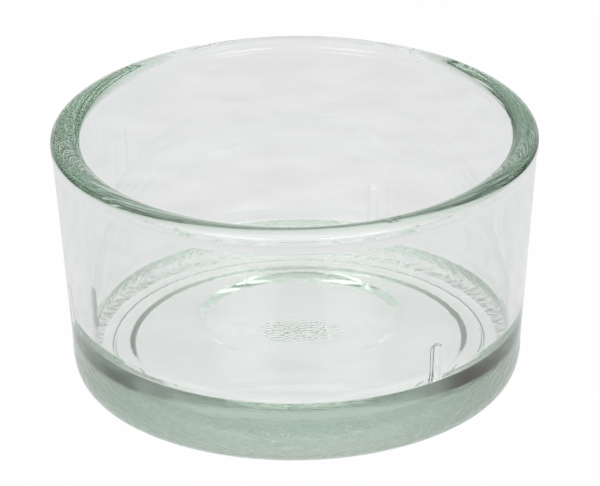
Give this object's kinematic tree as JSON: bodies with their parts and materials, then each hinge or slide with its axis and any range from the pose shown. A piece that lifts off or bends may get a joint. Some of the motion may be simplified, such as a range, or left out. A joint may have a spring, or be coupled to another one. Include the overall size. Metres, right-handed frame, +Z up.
{
  "type": "tealight holder",
  "caption": "Round pressed-glass tealight holder: a low, thick-based cup with a gently widening wall, a rounded rim and short ribs low on the inside wall.",
  "frame": {"origin": "centre of the underside, on the plane that the cup stands on", "axes": "+Z up along the cup's axis, from the underside to the mouth; -Y is the side seen at the front"},
  "size_m": [0.08, 0.08, 0.0428],
  "materials": {
    "glass": "clear greenish soda-lime glass, fire-polished wall and rim, faintly wavy inside, finely stippled round the foot"
  },
  "bodies": {
    "root": {"glass_cup": "glass"}
  },
  "joints": []
}
